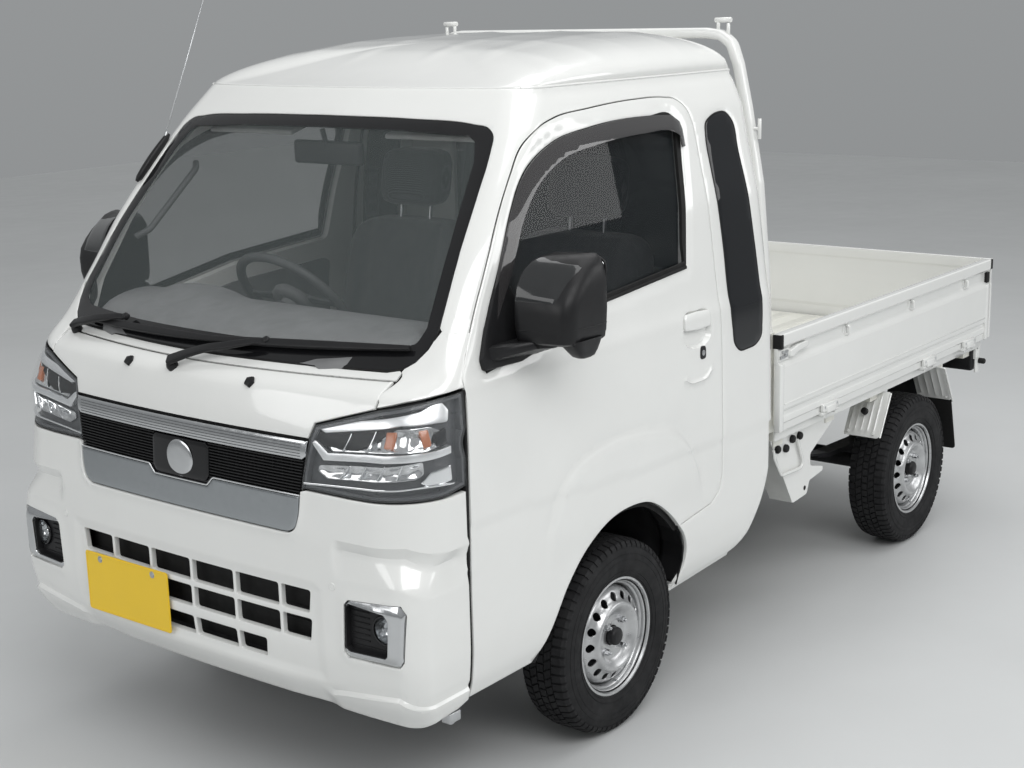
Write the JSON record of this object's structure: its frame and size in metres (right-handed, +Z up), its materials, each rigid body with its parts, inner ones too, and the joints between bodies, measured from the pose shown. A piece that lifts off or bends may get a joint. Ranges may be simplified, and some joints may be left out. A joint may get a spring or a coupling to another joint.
{
  "type": "kei truck with high-roof cab",
  "caption": "Small cab-over pickup truck with a high-roof extended cab, a drop-side cargo bed, opening doors, steered front wheels and steel wheels.",
  "frame": {"origin": "on the ground under the middle of the overall length and width", "axes": "+X forward, +Y to the vehicle's left, +Z up"},
  "size_m": [3.395, 1.81, 2.044],
  "materials": {
    "body_paint": "gloss white paint",
    "chassis_paint": "satin black chassis paint",
    "dark_plastic": "textured black plastic",
    "interior_plastic": "dark grey moulded plastic",
    "seat_fabric": "dark grey woven cloth",
    "bare_metal": "plated steel",
    "cast_alloy": "cast alloy, dull",
    "wheel_silver": "silver painted pressed steel",
    "tyre_rubber": "black tyre rubber",
    "screen_glass": "clear laminated glass",
    "tinted_glass": "dark privacy glass",
    "lamp_lens": "clear lamp lens over chrome reflectors",
    "red_lens": "red lamp lens",
    "grille_chrome": "satin chrome and black mesh",
    "plate_yellow": "yellow painted blank plate"
  },
  "bodies": {
    "truck": {"antenna": "bare_metal", "bed_floor": "body_paint", "bed_front_wall": "body_paint", "cab_floor": "chassis_paint", "cab_guard": "body_paint", "cab_rear_wall": "body_paint", "cab_shell": "body_paint", "cab_trim": "dark_plastic", "cab_windows": "tinted_glass", "dashboard": "interior_plastic", "engine": "cast_alloy", "exhaust": "bare_metal", "fog_lamps": "dark_plastic", "frame_crossmembers": "chassis_paint", "frame_rails": "chassis_paint", "front_bumper": "body_paint", "front_panel": "body_paint", "front_suspension": "chassis_paint", "fuel_tank": "chassis_paint", "gate_hinges": "bare_metal", "grille": "grille_chrome", "headlamps": "lamp_lens", "mudflaps": "dark_plastic", "number_plates": "plate_yellow", "propshaft": "chassis_paint", "rear_axle": "chassis_paint", "rear_springs": "chassis_paint", "rear_wheel_guards": "body_paint", "roof": "body_paint", "seats": "seat_fabric", "side_bracket": "body_paint", "steering_column": "interior_plastic", "steering_rack": "chassis_paint", "tail_lamps": "red_lens", "windscreen": "screen_glass", "wipers": "dark_plastic"},
    "knuckle_left": {"knuckle_left": "chassis_paint"},
    "knuckle_right": {"knuckle_right": "chassis_paint"},
    "track_rod": {"track_rod": "chassis_paint"},
    "steering_wheel": {"steering_wheel": "interior_plastic"},
    "front_left_wheel": {"front_left_rim": "wheel_silver", "front_left_tyre": "tyre_rubber"},
    "front_right_wheel": {"front_right_rim": "wheel_silver", "front_right_tyre": "tyre_rubber"},
    "rear_left_wheel": {"rear_left_rim": "wheel_silver", "rear_left_tyre": "tyre_rubber"},
    "rear_right_wheel": {"rear_right_rim": "wheel_silver", "rear_right_tyre": "tyre_rubber"},
    "door_left": {"door_left": "body_paint", "door_glass_left": "tinted_glass", "mirror_left": "dark_plastic"},
    "door_right": {"door_right": "body_paint", "door_glass_right": "tinted_glass", "mirror_right": "dark_plastic"},
    "side_gate_left": {"side_gate_left": "body_paint"},
    "side_gate_right": {"side_gate_right": "body_paint"},
    "tailgate": {"tailgate": "body_paint"}
  },
  "joints": [
    {"name": "steer_left", "type": "hinge", "parent": "truck", "child": "knuckle_left", "pos_m": [0.826, 0.6, 0.19], "axis": [0, -0.2252, 0.9743], "range_deg": [-33, 33]},
    {"name": "steer_right", "type": "hinge", "parent": "truck", "child": "knuckle_right", "pos_m": [0.826, -0.6, 0.19], "axis": [0, 0.2252, 0.9743], "range_deg": [-33, 33]},
    {"name": "track_rod_slide", "type": "slide", "parent": "truck", "child": "track_rod", "axis": [0, 1, 0], "range_m": [-0.08, 0.08]},
    {"name": "steering_wheel_turn", "type": "hinge", "parent": "truck", "child": "steering_wheel", "pos_m": [0.94499, -0.33, 1.11725], "axis": [-0.7669, 0, 0.6417], "range_deg": [-520, 520]},
    {"name": "front_left_spin", "type": "hinge", "parent": "knuckle_left", "child": "front_left_wheel", "pos_m": [0.826, 0.6525, 0.2685], "axis": [0, 1, 0], "continuous": true},
    {"name": "front_right_spin", "type": "hinge", "parent": "knuckle_right", "child": "front_right_wheel", "pos_m": [0.826, -0.6525, 0.2685], "axis": [0, 1, 0], "continuous": true},
    {"name": "rear_left_spin", "type": "hinge", "parent": "truck", "child": "rear_left_wheel", "pos_m": [-1.074, 0.65, 0.2685], "axis": [0, 1, 0], "continuous": true},
    {"name": "rear_right_spin", "type": "hinge", "parent": "truck", "child": "rear_right_wheel", "pos_m": [-1.074, -0.65, 0.2685], "axis": [0, 1, 0], "continuous": true},
    {"name": "door_left_open", "type": "hinge", "parent": "truck", "child": "door_left", "pos_m": [1.443, 0.724, 0.7], "axis": [0, 0, -1], "range_deg": [0, 65]},
    {"name": "door_right_open", "type": "hinge", "parent": "truck", "child": "door_right", "pos_m": [1.443, -0.724, 0.7], "axis": [0, 0, 1], "range_deg": [0, 65]},
    {"name": "side_gate_left_drop", "type": "hinge", "parent": "truck", "child": "side_gate_left", "pos_m": [-0.84, 0.7315, 0.641], "axis": [-1, 0, 0], "range_deg": [0, 170]},
    {"name": "side_gate_right_drop", "type": "hinge", "parent": "truck", "child": "side_gate_right", "pos_m": [-0.84, -0.7315, 0.641], "axis": [1, 0, 0], "range_deg": [0, 170]},
    {"name": "tailgate_drop", "type": "hinge", "parent": "truck", "child": "tailgate", "pos_m": [-1.6915, 0, 0.641], "axis": [0, -1, 0], "range_deg": [0, 170]}
  ],
  "couplings": [
    {"joint": "steer_right", "follows": "steer_left", "ratio": 1},
    {"joint": "track_rod_slide", "follows": "steer_left", "m_per_rad": -0.12},
    {"joint": "steering_wheel_turn", "follows": "steer_left", "ratio": 15}
  ]
}
